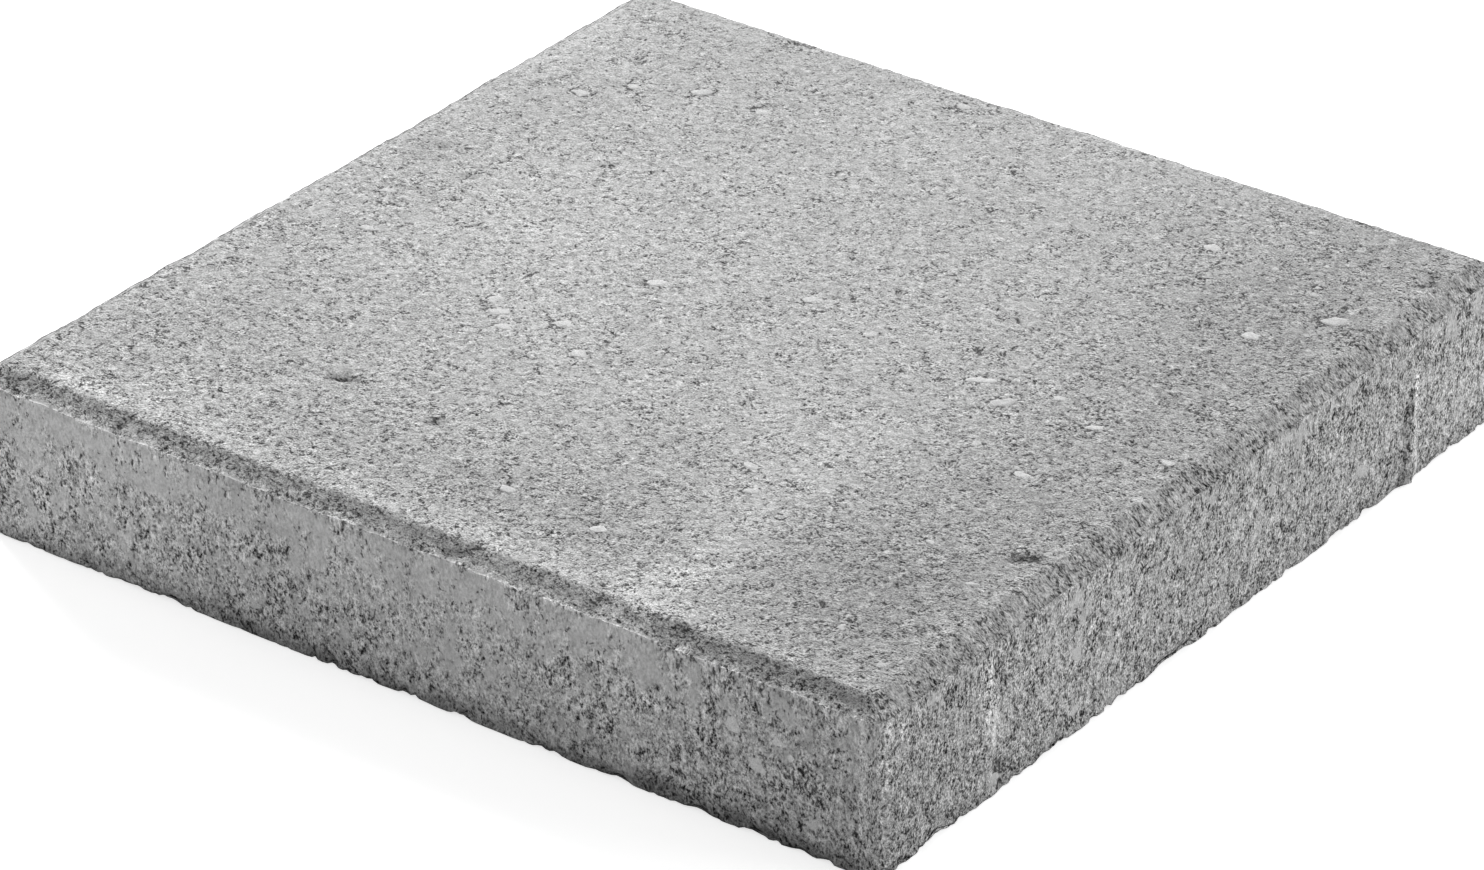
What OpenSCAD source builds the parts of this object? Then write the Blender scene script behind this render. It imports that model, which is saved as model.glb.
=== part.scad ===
// Square concrete paving slab, cast and pressed in one piece with its walking face up.
// The tamping shoe leaves a bevel around the walking face and a narrow shoulder below it.
// Two upright ribs on one side keep the joint to the next slab open.
// The origin is the middle of the underside. +X points to the ribbed side and +Z points up.

/* [Slab] */
// Side of the square that one slab takes up when laid, its joint included
laying_size = 300; // [200:10:600]
// Thickness from the underside to the walking face
thickness = 50; // [40:1:100]

/* [Top edge] */
// Width of the bevel around the walking face, its shoulder included
bevel_width = 6; // [4:0.5:10]
// Height of the bevel
bevel_height = 4; // [2:0.5:8]
// Width of the level shoulder that the tamping shoe leaves outside the bevel
shoulder_width = 0.8; // [0.4:0.1:2]

/* [Corners and underside] */
// Corner radius of the walking face, at the top of the bevel
face_corner_radius = 0.5; // [0.2:0.1:20]
// Radius of the worn edge around the underside
arris_radius = 1; // [0.5:0.5:4]

/* [Spacer ribs] */
// How far the ribs stand out of the side at the underside, which is the width of the joint
joint_width = 2; // [1:0.5:4]
// Radius of a rib's rounded back
rib_radius = 5; // [4:0.5:12]
// Height above the underside at which a rib has run out into the side
rib_height = 36; // [20:1:38]
// Distance from the end of the ribbed side to the middle of each rib
rib_inset = 48; // [30:1:80]

/* [Hidden] */
$fn = 64;

body_size = laying_size - joint_width;
side_height = thickness - bevel_height;
corner_radius = face_corner_radius + bevel_width;
corner_offset = body_size / 2 - corner_radius;
rib_lean = atan(joint_width / rib_height);

// Outer part of the slab's section, from a corner's upright axis to the side.
module edge_section() {
    difference() {
        square([corner_radius, side_height]);
        translate([corner_radius - arris_radius, 0])
            difference() {
                square(arris_radius);
                translate([0, arris_radius])
                    circle(r = arris_radius);
            }
    }
    polygon([
        [0, side_height],
        [corner_radius - shoulder_width, side_height],
        [face_corner_radius, thickness],
        [0, thickness]
    ]);
}

// The section carried straight along the side that faces +X.
module straight_edge() {
    translate([corner_offset, corner_offset, 0])
        rotate([90, 0, 0])
            linear_extrude(height = 2 * corner_offset)
                edge_section();
}

// The section turned a quarter round the upright axis of the corner between +X and +Y.
module round_corner() {
    translate([corner_offset, corner_offset, 0])
        rotate_extrude(angle = 90)
            edge_section();
}

module slab_body() {
    translate([-corner_offset, -corner_offset, 0])
        cube([2 * corner_offset, 2 * corner_offset, thickness]);
    for (turn = [0:90:270])
        rotate([0, 0, turn]) {
            straight_edge();
            round_corner();
        }
}

// A round bar that leans into the side, so that the rib narrows upwards and runs out.
module spacer_rib(along) {
    intersection() {
        translate([body_size / 2 + joint_width - rib_radius / cos(rib_lean), along, 0])
            rotate([0, -rib_lean, 0])
                translate([0, 0, -rib_radius])
                    cylinder(h = side_height + 2 * rib_radius, r = rib_radius);
        translate([corner_offset, along - 2 * rib_radius, 0])
            cube([corner_radius + 2 * joint_width, 4 * rib_radius, side_height]);
    }
}

module slab() {
    color("#a9a9a9") {
        slab_body();
        for (end = [-1, 1])
            spacer_rib(end * (body_size / 2 - rib_inset));
    }
}

slab();
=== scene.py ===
"""Looks of a square concrete paving slab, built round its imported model.

The slab is one casting, so its body is one closed skin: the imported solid's own profile, carried round the
square and then worn by relief. Single pebbles that lie bare in the walking face and in the sides are
separate low lenses, half sunk into the body. Lengths are in millimetres in this script until a mesh is
made, and in metres in Blender.
"""

from __future__ import annotations

import logging
import math
from dataclasses import dataclass, field
from enum import Enum
from functools import partial

import bpy
import numpy as np
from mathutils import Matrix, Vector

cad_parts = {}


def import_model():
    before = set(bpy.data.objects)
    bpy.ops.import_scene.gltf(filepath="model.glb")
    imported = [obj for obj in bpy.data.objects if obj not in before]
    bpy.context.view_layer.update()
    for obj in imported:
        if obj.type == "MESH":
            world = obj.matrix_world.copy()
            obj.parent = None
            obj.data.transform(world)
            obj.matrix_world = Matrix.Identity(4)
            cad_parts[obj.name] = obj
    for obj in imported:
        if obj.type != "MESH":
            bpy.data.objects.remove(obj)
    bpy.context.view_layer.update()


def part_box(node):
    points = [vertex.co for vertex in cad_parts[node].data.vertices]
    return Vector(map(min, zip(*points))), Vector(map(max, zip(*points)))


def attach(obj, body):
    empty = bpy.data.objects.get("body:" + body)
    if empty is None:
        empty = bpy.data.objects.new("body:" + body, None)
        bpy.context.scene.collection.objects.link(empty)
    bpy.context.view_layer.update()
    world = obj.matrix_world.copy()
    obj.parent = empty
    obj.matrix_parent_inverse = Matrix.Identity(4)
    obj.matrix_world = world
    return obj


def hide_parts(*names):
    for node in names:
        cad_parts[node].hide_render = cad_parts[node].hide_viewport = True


LOG = logging.getLogger("slab")
MM = 0.001
BODY = "root"
NODE = "slab"
WHITE = (1.0, 1.0, 1.0, 1.0)


class Side(Enum):
    """The four upright sides, each with its outward direction in the plane."""

    FRONT = (0.0, -1.0)
    RIBBED = (1.0, 0.0)
    BACK = (0.0, 1.0)
    LEFT = (-1.0, 0.0)


def linear(colour: str) -> tuple[float, float, float, float]:
    """Turns an sRGB hex colour into Blender's linear red, green and blue, with an alpha of 1."""
    channels = [int(colour[i : i + 2], 16) / 255 for i in (1, 3, 5)]
    return (*(c / 12.92 if c <= 0.04045 else ((c + 0.055) / 1.055) ** 2.4 for c in channels), 1.0)


def smooth_step(low: float, high: float, value: np.ndarray) -> np.ndarray:
    """Rises from 0 at low to 1 at high along 3 t^2 - 2 t^3, or falls where low lies above high."""
    t = np.clip((value - low) / (high - low), 0.0, 1.0)
    return t * t * (3.0 - 2.0 * t)


def bell(distance: np.ndarray, width: float | np.ndarray) -> np.ndarray:
    """Falls from 1 towards 0 on both sides of distance 0, as exp(-(d / w)^2)."""
    return np.exp(-((distance / width) ** 2))


def in_plan(normals: np.ndarray) -> np.ndarray:
    """Gives the normals as seen from above, with a length of 1 where they aren't upright."""
    flat = normals[:, :2]
    return flat / np.maximum(np.linalg.norm(flat, axis=1, keepdims=True), 1e-6)


class Lumps:
    """Seeded gradient noise in space, which is a smooth random height with lumps of one chosen size.

    Shifted points get other lumps of that size, which keeps two patterns from lying on top of each other.
    """

    CELLS = 64

    def __init__(self, seed: int) -> None:
        """Draws one random direction for each lattice corner."""
        directions = np.random.default_rng(seed).normal(size=(self.CELLS,) * 3 + (3,))
        self.directions = directions / np.linalg.norm(directions, axis=-1, keepdims=True)

    def __call__(self, points: np.ndarray, size: float) -> np.ndarray:
        """Works out the height at each point.

        At each of the eight lattice corners round a point, the corner's direction is multiplied by the
        offset from the corner. The eight products are blended with 6 t^5 - 15 t^4 + 10 t^3 along each axis.

        Args:
            points: Points in millimetres, one to a row.
            size: Edge of a lattice cell in millimetres, which is about half the distance between two lumps.

        Returns:
            Heights from about -1 to 1.
        """
        cell = np.floor(points / size)
        offset = points / size - cell
        corner = cell.astype(int)
        blend = offset**3 * (offset * (offset * 6.0 - 15.0) + 10.0)
        total = np.zeros(len(points))
        for step in np.ndindex(2, 2, 2):
            index = (corner + step) % self.CELLS
            direction = self.directions[index[:, 0], index[:, 1], index[:, 2]]
            weight = np.prod(np.where(step, blend, 1.0 - blend), axis=1)
            total += weight * np.sum(direction * (offset - step), axis=1)
        return total * 1.5

    def layered(self, points: np.ndarray, size: float, layers: int) -> np.ndarray:
        """Adds layers of noise, each half as coarse and half as high as the last, up to about 1."""
        heights = [0.5**i * self(points + 17.3 * i, size / 2**i) for i in range(layers)]
        return np.sum(heights, axis=0) / np.sum([0.5**i for i in range(layers)])

    def peaks(self, points: np.ndarray, size: float, level: float = 0.0) -> np.ndarray:
        """Keeps what of the noise stands above a level, and gives 0 elsewhere."""
        return np.maximum(self(points, size) - level, 0.0)


@dataclass(frozen=True)
class SlabSizes:
    """The slab's sizes in millimetres, as the solid has them."""

    half_side: float
    thickness: float
    joint_width: float
    bevel_width: float = 6.0
    bevel_height: float = 4.0
    shoulder_width: float = 0.8
    corner_radius: float = 6.5
    arris_radius: float = 1.0
    rib_radius: float = 5.0
    rib_height: float = 36.0
    rib_inset: float = 48.0

    @classmethod
    def from_frame(cls) -> SlabSizes:
        """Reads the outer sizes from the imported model's box."""
        across, half_side, thickness = (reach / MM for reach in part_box(NODE)[1])
        return cls(half_side=half_side, thickness=thickness, joint_width=across - half_side)

    @property
    def shoulder_height(self) -> float:
        """Height of the shoulder under the bevel."""
        return self.thickness - self.bevel_height


@dataclass(frozen=True)
class Pit:
    """A hollow that was left in the walking face where a grain or an air bubble came out."""

    x: float
    y: float
    radius: float
    depth: float


@dataclass(frozen=True)
class Patch:
    """A soft-edged area of the skin that is paler (tone above 0) or darker (below 0) than the rest."""

    x: float
    y: float
    z: float
    radius: float
    tone: float


@dataclass(frozen=True)
class Stroke:
    """A soft-edged line on the skin that is paler, darker or more broken open than the rest."""

    start: tuple[float, float, float]
    end: tuple[float, float, float]
    radius: float
    tone: float = 0.0
    broken: float = 0.0


@dataclass(frozen=True)
class Bite:
    """A place where the arris has crumbled away deeply: distance along its side, width and depth."""

    side: Side
    along: float
    width: float
    depth: float


@dataclass(frozen=True)
class Stone:
    """A pebble that lies bare in the surface, as an oval.

    Its place is x and y on the walking face. On an upright side it is the distance along the side and the
    height.
    """

    x: float
    y: float
    length: float
    width: float
    turn: float = 0.0
    tone: float = 1.0
    side: Side | None = None


PITS = (
    Pit(-65, -94, 3.6, 1.1),
    Pit(-69, -95, 2.0, 0.9),
    Pit(63, 18, 2.6, 1.2),
    Pit(69, 20, 1.8, 1.0),
    Pit(134, -67, 2.6, 0.6),
    Pit(137, -64, 2.0, 0.5),
    Pit(92, -37, 2.2, 1.2),
    Pit(88, -55, 1.6, 1.0),
    Pit(-117, 104, 2.0, 1.2),
    Pit(26, 32, 2.0, 1.1),
    Pit(-21, 18, 1.8, 0.9),
    Pit(-111, 17, 2.4, 1.1),
    Pit(-129, 27, 1.8, 0.9),
    Pit(-30, -98, 1.8, 1.1),
    Pit(-35, -115, 1.4, 0.9),
    Pit(-33, -5, 1.5, 1.0),
    Pit(124, 0, 2.0, 1.1),
    Pit(107, -115, 1.6, 1.2),
    Pit(57, -144, 2.4, 1.4),
    Pit(-61, -19, 1.4, 1.0),
    Pit(129, 95, 1.8, 1.0),
    Pit(-84, -67, 1.4, 0.8),
)

# Those at y = -149 and x = 149 are partly painted light: they make the front side paler towards its left end
# and the ribbed side paler towards its back, as light falling off from the back left.
PATCHES = (
    Patch(-80, 20, 50, 50, 0.10),
    Patch(-22, 105, 50, 20, 0.06),
    Patch(-145, 110, 50, 25, 0.06),
    Patch(-45, -35, 50, 22, 0.07),
    Patch(52, -52, 50, 16, 0.05),
    Patch(70, -142, 50, 14, 0.10),
    Patch(-135, -110, 50, 22, -0.05),
    Patch(95, -105, 50, 26, -0.06),
    Patch(-112, -149, 30, 34, 0.10),
    Patch(-66, -149, 22, 10, -0.08),
    Patch(-95, -149, 12, 12, 0.06),
    Patch(138, -149, 14, 18, -0.14),
    Patch(-22, -149, 34, 14, 0.05),
    Patch(149, -128, 14, 22, -0.10),
    Patch(149, 60, 25, 70, 0.05),
    Patch(30, -95, 50, 45, -0.09),
    Patch(105, -85, 50, 30, -0.05),
    Patch(112, -77, 50, 8, 0.07),
    Patch(-95, -85, 50, 40, -0.06),
    Patch(100, 80, 50, 45, -0.07),
    Patch(-130, 25, 50, 8, -0.07),
    Patch(72, 115, 50, 10, -0.06),
    Patch(30, -100, 50, 10, -0.05),
    Patch(115, -95, 50, 10, -0.05),
    Patch(-72, 0, 50, 13, 0.06),
    Patch(-90, -35, 50, 10, 0.06),
    Patch(5, -50, 50, 10, 0.06),
    Patch(-95, -149, 15, 38, 0.05),
    Patch(149, -141, 25, 16, -0.06),
    Patch(149, 122, 25, 28, 0.13),
    Patch(149, -115, 42, 9, -0.10),
    Patch(-140, 105, 50, 22, 0.06),
    Patch(-128, 20, 50, 12, -0.06),
    Patch(-115, -122, 50, 16, -0.06),
    Patch(122, -116, 50, 12, -0.08),
)

STROKES = (
    Stroke((149, -101, 41), (149, -101, 28), 1.3, tone=0.45),
    Stroke((149, -100, 28), (149, -99, 16), 2.3, tone=0.55),
    Stroke((149, -96, 9), (149, -94, 4), 2.8, tone=-0.3, broken=1.7),
    Stroke((149, -93, 24), (149, -86, 21), 1.0, broken=0.7),
    # Painted highlight on the far rib's back flank, which faces the lamps, and painted shade on its front
    # flank.
    Stroke((149, 103, 34), (149, 103, 2), 1.5, tone=0.68),
    Stroke((149, 99, 26), (149, 98, 2), 1.8, tone=-0.38),
    # Painted highlights along the two edges of the near corner.
    Stroke((144, -149, 44), (144, -149, 12), 1.1, tone=0.42),
    Stroke((149, -146, 44), (149, -146, 20), 1.1, tone=0.38),
    Stroke((149, -139, 43), (149, -138, 37), 2.0, tone=0.20),
    Stroke((54, -149, 45), (62, -143, 50), 1.3, tone=-0.1, broken=0.9),
    Stroke((-130, -143, 50), (-126, -143, 50), 1.8, tone=-0.3, broken=1.2),
    Stroke((-99, -147, 47), (-97, -143, 50), 1.5, tone=-0.2, broken=1.2),
    Stroke((12, -148, 46), (20, -143, 50), 1.6, tone=-0.25, broken=1.2),
    Stroke((55, -141, 50), (58, -140, 50), 1.8, tone=-0.3, broken=1.2),
    Stroke((84, -145, 49), (87, -143, 50), 2.0, tone=-0.2, broken=1.3),
    Stroke((139, 120, 50), (141, 124, 50), 1.3, tone=-0.3, broken=1.0),
    Stroke((141, 124, 50), (138, 127, 50), 1.3, tone=-0.3, broken=1.0),
    Stroke((132, -68, 50), (137, -64, 50), 1.9, tone=-0.42, broken=0.5),
    Stroke((-68, -96, 50), (-63, -94, 50), 1.4, tone=-0.8, broken=0.9),
    Stroke((-32, -100, 50), (-29, -99, 50), 1.3, tone=-0.5, broken=0.7),
    Stroke((148, 55, 46), (148, 58, 46), 1.8, tone=0.2),
    Stroke((149, 103, 39), (149, 107, 39), 2.2, tone=-0.15, broken=0.8),
    Stroke((149, 73, 40), (149, 77, 40), 2.2, tone=-0.15, broken=0.8),
    Stroke((-141, -120, 50), (-141, 120, 50), 6.0, tone=0.06),
    Stroke((-139, -149, 46), (-133, -143, 50), 1.1, tone=-0.1, broken=0.8),
    Stroke((-20, -149, 46), (-15, -143, 50), 1.0, broken=0.7),
    Stroke((84, -149, 46), (88, -143, 50), 1.1, broken=0.8),
    Stroke((112, -149, 46), (117, -143, 50), 1.0, broken=0.7),
    Stroke((63, -128, 50), (76, -114, 50), 1.6, tone=0.22),
    Stroke((70, -127, 50), (80, -117, 50), 1.4, tone=0.20),
    Stroke((-126, -139, 50), (-112, -137, 50), 2.2, tone=0.25),
    Stroke((65, -35, 50), (68, -140, 50), 8.0, tone=0.13),
    Stroke((-130, -141, 50), (120, -141, 50), 6.0, tone=0.07),
    Stroke((5, -141, 50), (130, -141, 50), 5.0, tone=0.06),
    Stroke((-60, -118, 50), (50, -118, 50), 13.0, tone=-0.11),
    Stroke((128, 140, 50), (122, -140, 50), 44.0, tone=-0.22),
    # Painted shade along the foot of the front side.
    Stroke((-58, -149, 2), (5, -149, 2), 9.0, tone=-0.15),
    Stroke((45, -149, 2), (120, -149, 2), 9.0, tone=-0.15),
)

BITES = (
    Bite(Side.FRONT, -99, 5, 1.1),
    Bite(Side.FRONT, -81, 7, 1.7),
    Bite(Side.FRONT, 1, 12, 0.7),
    Bite(Side.FRONT, 43, 4, 1.1),
    Bite(Side.FRONT, 93, 7, 1.7),
    Bite(Side.FRONT, 125, 5, 1.4),
    Bite(Side.RIBBED, -122, 8, 2.6),
    Bite(Side.RIBBED, -109, 4, 0.8),
    Bite(Side.RIBBED, -70, 9, 1.5),
    Bite(Side.RIBBED, -36, 4, 1.4),
    Bite(Side.RIBBED, -19, 13, 2.1),
    Bite(Side.RIBBED, 117, 9, 1.3),
)

STONES = (
    Stone(-24, 136, 5.0, 3.6),
    Stone(-108, 90, 4.4, 3.2, 20),
    Stone(-118, 78, 5.0, 4.0),
    Stone(-90, 99, 5.4, 4.2, 40),
    Stone(-69, 99, 4.2, 3.0),
    Stone(-20, 76, 4.0, 3.0, 80),
    Stone(-30, -2, 5.6, 3.6, 30, 1.1),
    Stone(10, 15, 5.0, 3.4, 60),
    Stone(34, 8, 4.2, 3.2, 10),
    Stone(73, 5, 8.0, 3.2, 35, 1.05),
    Stone(84, -2, 6.0, 4.6, 60, 0.85),
    Stone(95, 9, 4.2, 2.6, 35),
    Stone(111, 1, 5.4, 2.6, 35, 1.05),
    Stone(137, -3, 4.0, 3.0),
    Stone(91, -24, 3.6, 2.8, 70, 0.9),
    Stone(110, -31, 4.0, 3.0),
    Stone(-36, -36, 6.0, 4.2, 40, 1.05),
    Stone(-54, -41, 6.4, 4.6, 25),
    Stone(-60, -36, 4.4, 3.2, 70),
    Stone(-48, -47, 5.0, 3.0, 15),
    Stone(-23, -47, 5.0, 4.0, 50),
    Stone(-114, -24, 4.0, 3.0),
    Stone(-124, -3, 4.6, 3.0, 20),
    Stone(-86, 25, 3.8, 2.8, 60),
    Stone(131, 89, 8.0, 5.6, 35, 0.9),
    Stone(117, 68, 5.0, 3.6, 20),
    Stone(81, 105, 5.4, 4.0, 45),
    Stone(51, -69, 4.0, 3.0),
    Stone(59, -79, 4.4, 3.0, 40),
    Stone(7, -116, 4.4, 3.2, 10),
    Stone(39, -118, 4.8, 3.4, 30),
    Stone(136, -130, 3.0, 2.2, 30, 0.9),
    Stone(104, 30, 4.6, 4.2, 20, 0.95, Side.FRONT),
    Stone(118, 30, 3.2, 3.6, 80, 1.0, Side.FRONT),
    Stone(122, 27, 2.4, 2.2, 0, 1.0, Side.FRONT),
    Stone(112, 21, 5.0, 4.0, 150, 0.95, Side.FRONT),
    Stone(-130, 36, 2.4, 2.0, 0, 1.0, Side.FRONT),
    Stone(-97, 12, 3.0, 2.4, 60, 1.0, Side.FRONT),
    Stone(-42, 21, 2.2, 2.6, 80, 1.05, Side.FRONT),
    Stone(-52, 10, 3.4, 2.6, 20, 0.85, Side.FRONT),
    Stone(60, 35, 1.8, 1.6, 0, 1.0, Side.FRONT),
    Stone(129, 10, 4.0, 3.0, 30, 0.8, Side.FRONT),
    Stone(-62, 25, 6.0, 3.6, 145, 0.85, Side.RIBBED),
    Stone(-62, 8, 3.6, 3.0, 20, 0.85, Side.RIBBED),
    Stone(-46, 19, 3.2, 2.6, 60, 0.85, Side.RIBBED),
    Stone(30, 30, 4.6, 3.4, 30, 0.85, Side.RIBBED),
    Stone(36, 43, 4.0, 3.0, 0, 0.85, Side.RIBBED),
    Stone(76, 15, 5.4, 3.4, 150, 0.85, Side.RIBBED),
    Stone(-98, 5, 4.4, 3.4, 0, 0.8, Side.RIBBED),
)


@dataclass(frozen=True)
class Spots:
    """Points of the skin, with how far each belongs to each of its parts, from 0 to 1.

    The share toward a side is how squarely a point looks that way when seen from above, and over is the
    height above the shoulder.
    """

    points: np.ndarray
    normals: np.ndarray
    over: np.ndarray
    top: np.ndarray
    bevel: np.ndarray
    wall: np.ndarray
    under: np.ndarray
    toward: dict[Side, np.ndarray]


@dataclass(frozen=True)
class SlabSkin:
    """The casting's skin: a closed surface with its relief and the marks that the finish reads.

    It has a number of cells along one side of the walking face, and one cell of the underside takes up a
    coarse number of them. Lumps and reaches are in millimetres, and rib_break is the range of heights over
    which the near rib begins again above its break.
    """

    sizes: SlabSizes
    cells: int = 220
    coarse: int = 4
    strewn_pits: int = 120
    pit_seed: int = 5
    fine_lump: float = 2.2
    middle_lump: float = 5.0
    broad_lump: float = 45.0
    ledge_reach: float = 0.9
    crumb_reach: float = 3.0
    stroke_depth: float = 0.7
    rib_break: tuple[float, float] = (8.0, 15.0)
    lumps: Lumps = field(default_factory=partial(Lumps, 11))
    other: Lumps = field(default_factory=partial(Lumps, 23))

    def profile(self) -> np.ndarray:
        """Gives the section from the walking face's flat down to the underside's flat.

        The upper edge of the bevel is rounded by wear, a narrow level ledge with a sharp outer edge lies at
        its foot, the side is upright, and the arris is a quarter circle. On the side, rows lie 1.8 mm apart,
        and 1.2 mm near the arris, where it crumbles.

        Returns:
            Rows of inset from the side and height, in millimetres.
        """
        s = self.sizes
        worn = [(1.3, 0.0), (0.4, 0.03), (-0.2, 0.26), (-0.8, 0.66)]
        rows = [(s.bevel_width + inset, s.thickness - drop) for inset, drop in worn]
        run = s.bevel_width - s.shoulder_width
        slope = np.linspace(0.36, 0.93, 5)
        rows += [(s.bevel_width - run * t, s.thickness - s.bevel_height * t) for t in slope]
        ledge = [(0.95, 0.12), (0.78, 0.0), (0.14, 0.0), (0.0, -0.1), (0.0, -0.4), (0.0, -0.8), (0.0, -1.25)]
        rows += [(inset, s.shoulder_height + rise) for inset, rise in ledge]
        rows += [(0.0, z) for z in np.linspace(s.shoulder_height - 1.7, 9.0, 21)]
        rows += [(0.0, z) for z in np.linspace(7.8, s.arris_radius + 0.7, 6)]
        turn = np.linspace(0.0, math.pi / 2, 4)
        rows += [(s.arris_radius * (1 - math.cos(a)), s.arris_radius * (1 - math.sin(a))) for a in turn]
        rows += [(s.arris_radius + 1.2, 0.0), (s.arris_radius + 2.8, 0.0)]
        return np.array(rows)

    def ring(self, insets: np.ndarray) -> np.ndarray:
        """Lays each inset out as a square with rounded corners.

        Along one side, the distance from the middle of one corner's arc to the middle of the next grows
        evenly. The corner's radius shrinks by the inset, as it does between two parallel outlines.

        Args:
            insets: Distance of each ring inside the slab's side, in millimetres.

        Returns:
            Plan positions with a row for each inset and a column for each point, in order round the slab.
        """
        half = (self.sizes.half_side - insets)[:, None]
        radius = np.maximum(self.sizes.corner_radius - insets, 0.3)[:, None]
        arc = radius * math.pi / 4
        length = 2 * (half - radius) + 2 * arc
        travelled = length * (np.arange(self.cells) / self.cells)[None, :]
        before = (arc - np.clip(travelled, 0, arc)) / radius
        after = np.clip(travelled - (length - arc), 0, arc) / radius
        straight = np.clip(travelled - arc, 0, 2 * (half - radius))
        along = radius - half + straight + radius * (np.sin(after) - np.sin(before))
        out = half - radius + radius * np.cos(before + after)
        sides = [(along, -out), (out, along), (-along, out), (-out, -along)]
        return np.concatenate([np.stack(side, axis=-1) for side in sides], axis=1)

    def border(self, cells: int) -> np.ndarray:
        """Lists the row-major indices of a square grid's outer points, from its lowest corner round by +X."""
        index = np.arange((cells + 1) ** 2).reshape(cells + 1, cells + 1)
        return np.concatenate([index[0, :-1], index[:-1, -1], index[-1, :0:-1], index[:0:-1, 0]])

    def grid(self, outline: np.ndarray, cells: int) -> np.ndarray:
        """Fills a nearly square outline with an even grid.

        Args:
            outline: Plan positions of the outline, which replace the grid's outer points.
            cells: Cells along one side of the grid.

        Returns:
            Plan positions, row by row.
        """
        half = np.abs(outline).max()
        axis = np.linspace(-half, half, cells + 1)
        plan = np.stack([line.ravel() for line in np.meshgrid(axis, axis)], axis=-1)
        plan[self.border(cells)] = outline
        return plan

    def surface(self) -> tuple[np.ndarray, np.ndarray, np.ndarray]:
        """Builds the slab's plain closed surface.

        The walking face is an even grid. The rings of the profile hang from its border, and a coarser grid
        closes the underside, joined to the last ring by a strip of triangles.

        Returns:
            Points in millimetres, four-sided faces and three-sided faces.
        """
        n, m = self.cells, self.cells // self.coarse
        profile = self.profile()
        rings = self.ring(profile[:, 0])
        top_plan = self.grid(rings[0], n)
        under_plan = self.grid(self.ring(profile[-1:, 0] + 3.0)[0, :: self.coarse], m)
        top = np.column_stack([top_plan, np.full(len(top_plan), profile[0, 1])])
        heights = np.broadcast_to(profile[1:, 1, None, None], rings[1:, :, :1].shape)
        hung = np.concatenate([rings[1:], heights], axis=-1).reshape(-1, 3)
        under = np.column_stack([under_plan, np.zeros(len(under_plan))])
        points = np.concatenate([top, hung, under])

        around = 4 * n
        hung_index = len(top) + np.arange(len(profile) - 1)[:, None] * around + np.arange(around)
        ring_index = np.vstack([self.border(n), hung_index])
        upper, lower = ring_index[:-1], ring_index[1:]
        band = np.stack([upper, lower, np.roll(lower, -1, 1), np.roll(upper, -1, 1)], axis=-1)
        index = np.arange((n + 1) ** 2).reshape(n + 1, n + 1)
        lid = np.stack([index[:-1, :-1], index[:-1, 1:], index[1:, 1:], index[1:, :-1]], axis=-1)
        index = len(top) + len(hung) + np.arange((m + 1) ** 2).reshape(m + 1, m + 1)
        base = np.stack([index[:-1, :-1], index[1:, :-1], index[1:, 1:], index[:-1, 1:]], axis=-1)
        quads = np.concatenate([part.reshape(-1, 4) for part in (band, lid, base)])

        inner = len(top) + len(hung) + self.border(m)
        inner_next = np.roll(inner, -1)
        fine = np.append(ring_index[-1], ring_index[-1, 0])
        outer = [fine[k : k + around : self.coarse] for k in range(self.coarse)]
        outer.append(fine[self.coarse :: self.coarse])
        strip = [(outer[0], inner, outer[1]), (outer[1], inner, outer[2]), (outer[2], inner, inner_next)]
        strip += [(outer[2], inner_next, outer[3]), (outer[3], inner_next, outer[4])]
        return points, quads, np.concatenate([np.stack(corners, axis=-1) for corners in strip])

    def normals(self, points: np.ndarray, *groups: np.ndarray) -> np.ndarray:
        """Averages the faces' normals at each point, weighted by area.

        Args:
            points: Points in millimetres.
            groups: Arrays of faces, each with one number of corners.

        Returns:
            Unit normals that point out of the slab.
        """
        total = np.zeros_like(points)
        for faces in groups:
            corners = points[faces]
            first = corners[:, 2] - corners[:, 0]
            second = corners[:, -1] - corners[:, 1]
            crossed = np.cross(first, second)
            for column, axis in np.ndindex(faces.shape[1], 3):
                total[:, axis] += np.bincount(faces[:, column], crossed[:, axis], len(points))
        return total / np.linalg.norm(total, axis=1, keepdims=True)

    def spots(self, points: np.ndarray, normals: np.ndarray) -> Spots:
        """Tells the walking face, the bevel, the sides and the underside apart.

        Args:
            points: Points in millimetres.
            normals: Unit normals.

        Returns:
            The points with their shares in each part.
        """
        s = self.sizes
        over = points[:, 2] - s.shoulder_height
        top = smooth_step(s.thickness - 0.7, s.thickness - 0.1, points[:, 2])
        bevel = smooth_step(0.1, 0.5, over) * (1 - top)
        under = smooth_step(-0.75, -0.97, normals[:, 2])
        flat = in_plan(normals)
        flat[top > 0.99] = points[top > 0.99, :2] / s.half_side
        toward = {side: smooth_step(0.35, 0.94, flat @ np.array(side.value)) for side in Side}
        return Spots(points, normals, over, top, bevel, (1 - top - bevel) * (1 - under), under, toward)

    def rib_rise(self, spots: Spots) -> np.ndarray:
        """Works out how far the two spacer ribs stand out of their side.

        A rib is a round bar that leans into the side: its crest stands joint_width proud at the underside
        and runs out at rib_height, and its back is a circle. The near rib has broken off in its lowest
        third.

        Args:
            spots: Points of the skin.

        Returns:
            Rise at each point in millimetres.
        """
        s, z = self.sizes, spots.points[:, 2]
        middle = s.half_side - s.rib_inset
        wander = 0.5 * self.lumps(spots.points, 9.0)
        crest = s.joint_width * (1 - z / s.rib_height)
        left_over = smooth_step(*self.rib_break, z + 4.0 * self.other(spots.points, 4.0))
        rise = np.zeros(len(z))
        for centre, share in ((-middle, left_over), (middle, 1.0)):
            offset = spots.points[:, 1] - centre + wander
            back = np.sqrt(np.maximum(s.rib_radius**2 - offset**2, 0.0)) - s.rib_radius
            rise += np.maximum(crest + back, 0.0) * share
        return rise * spots.toward[Side.RIBBED] * spots.wall

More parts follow.
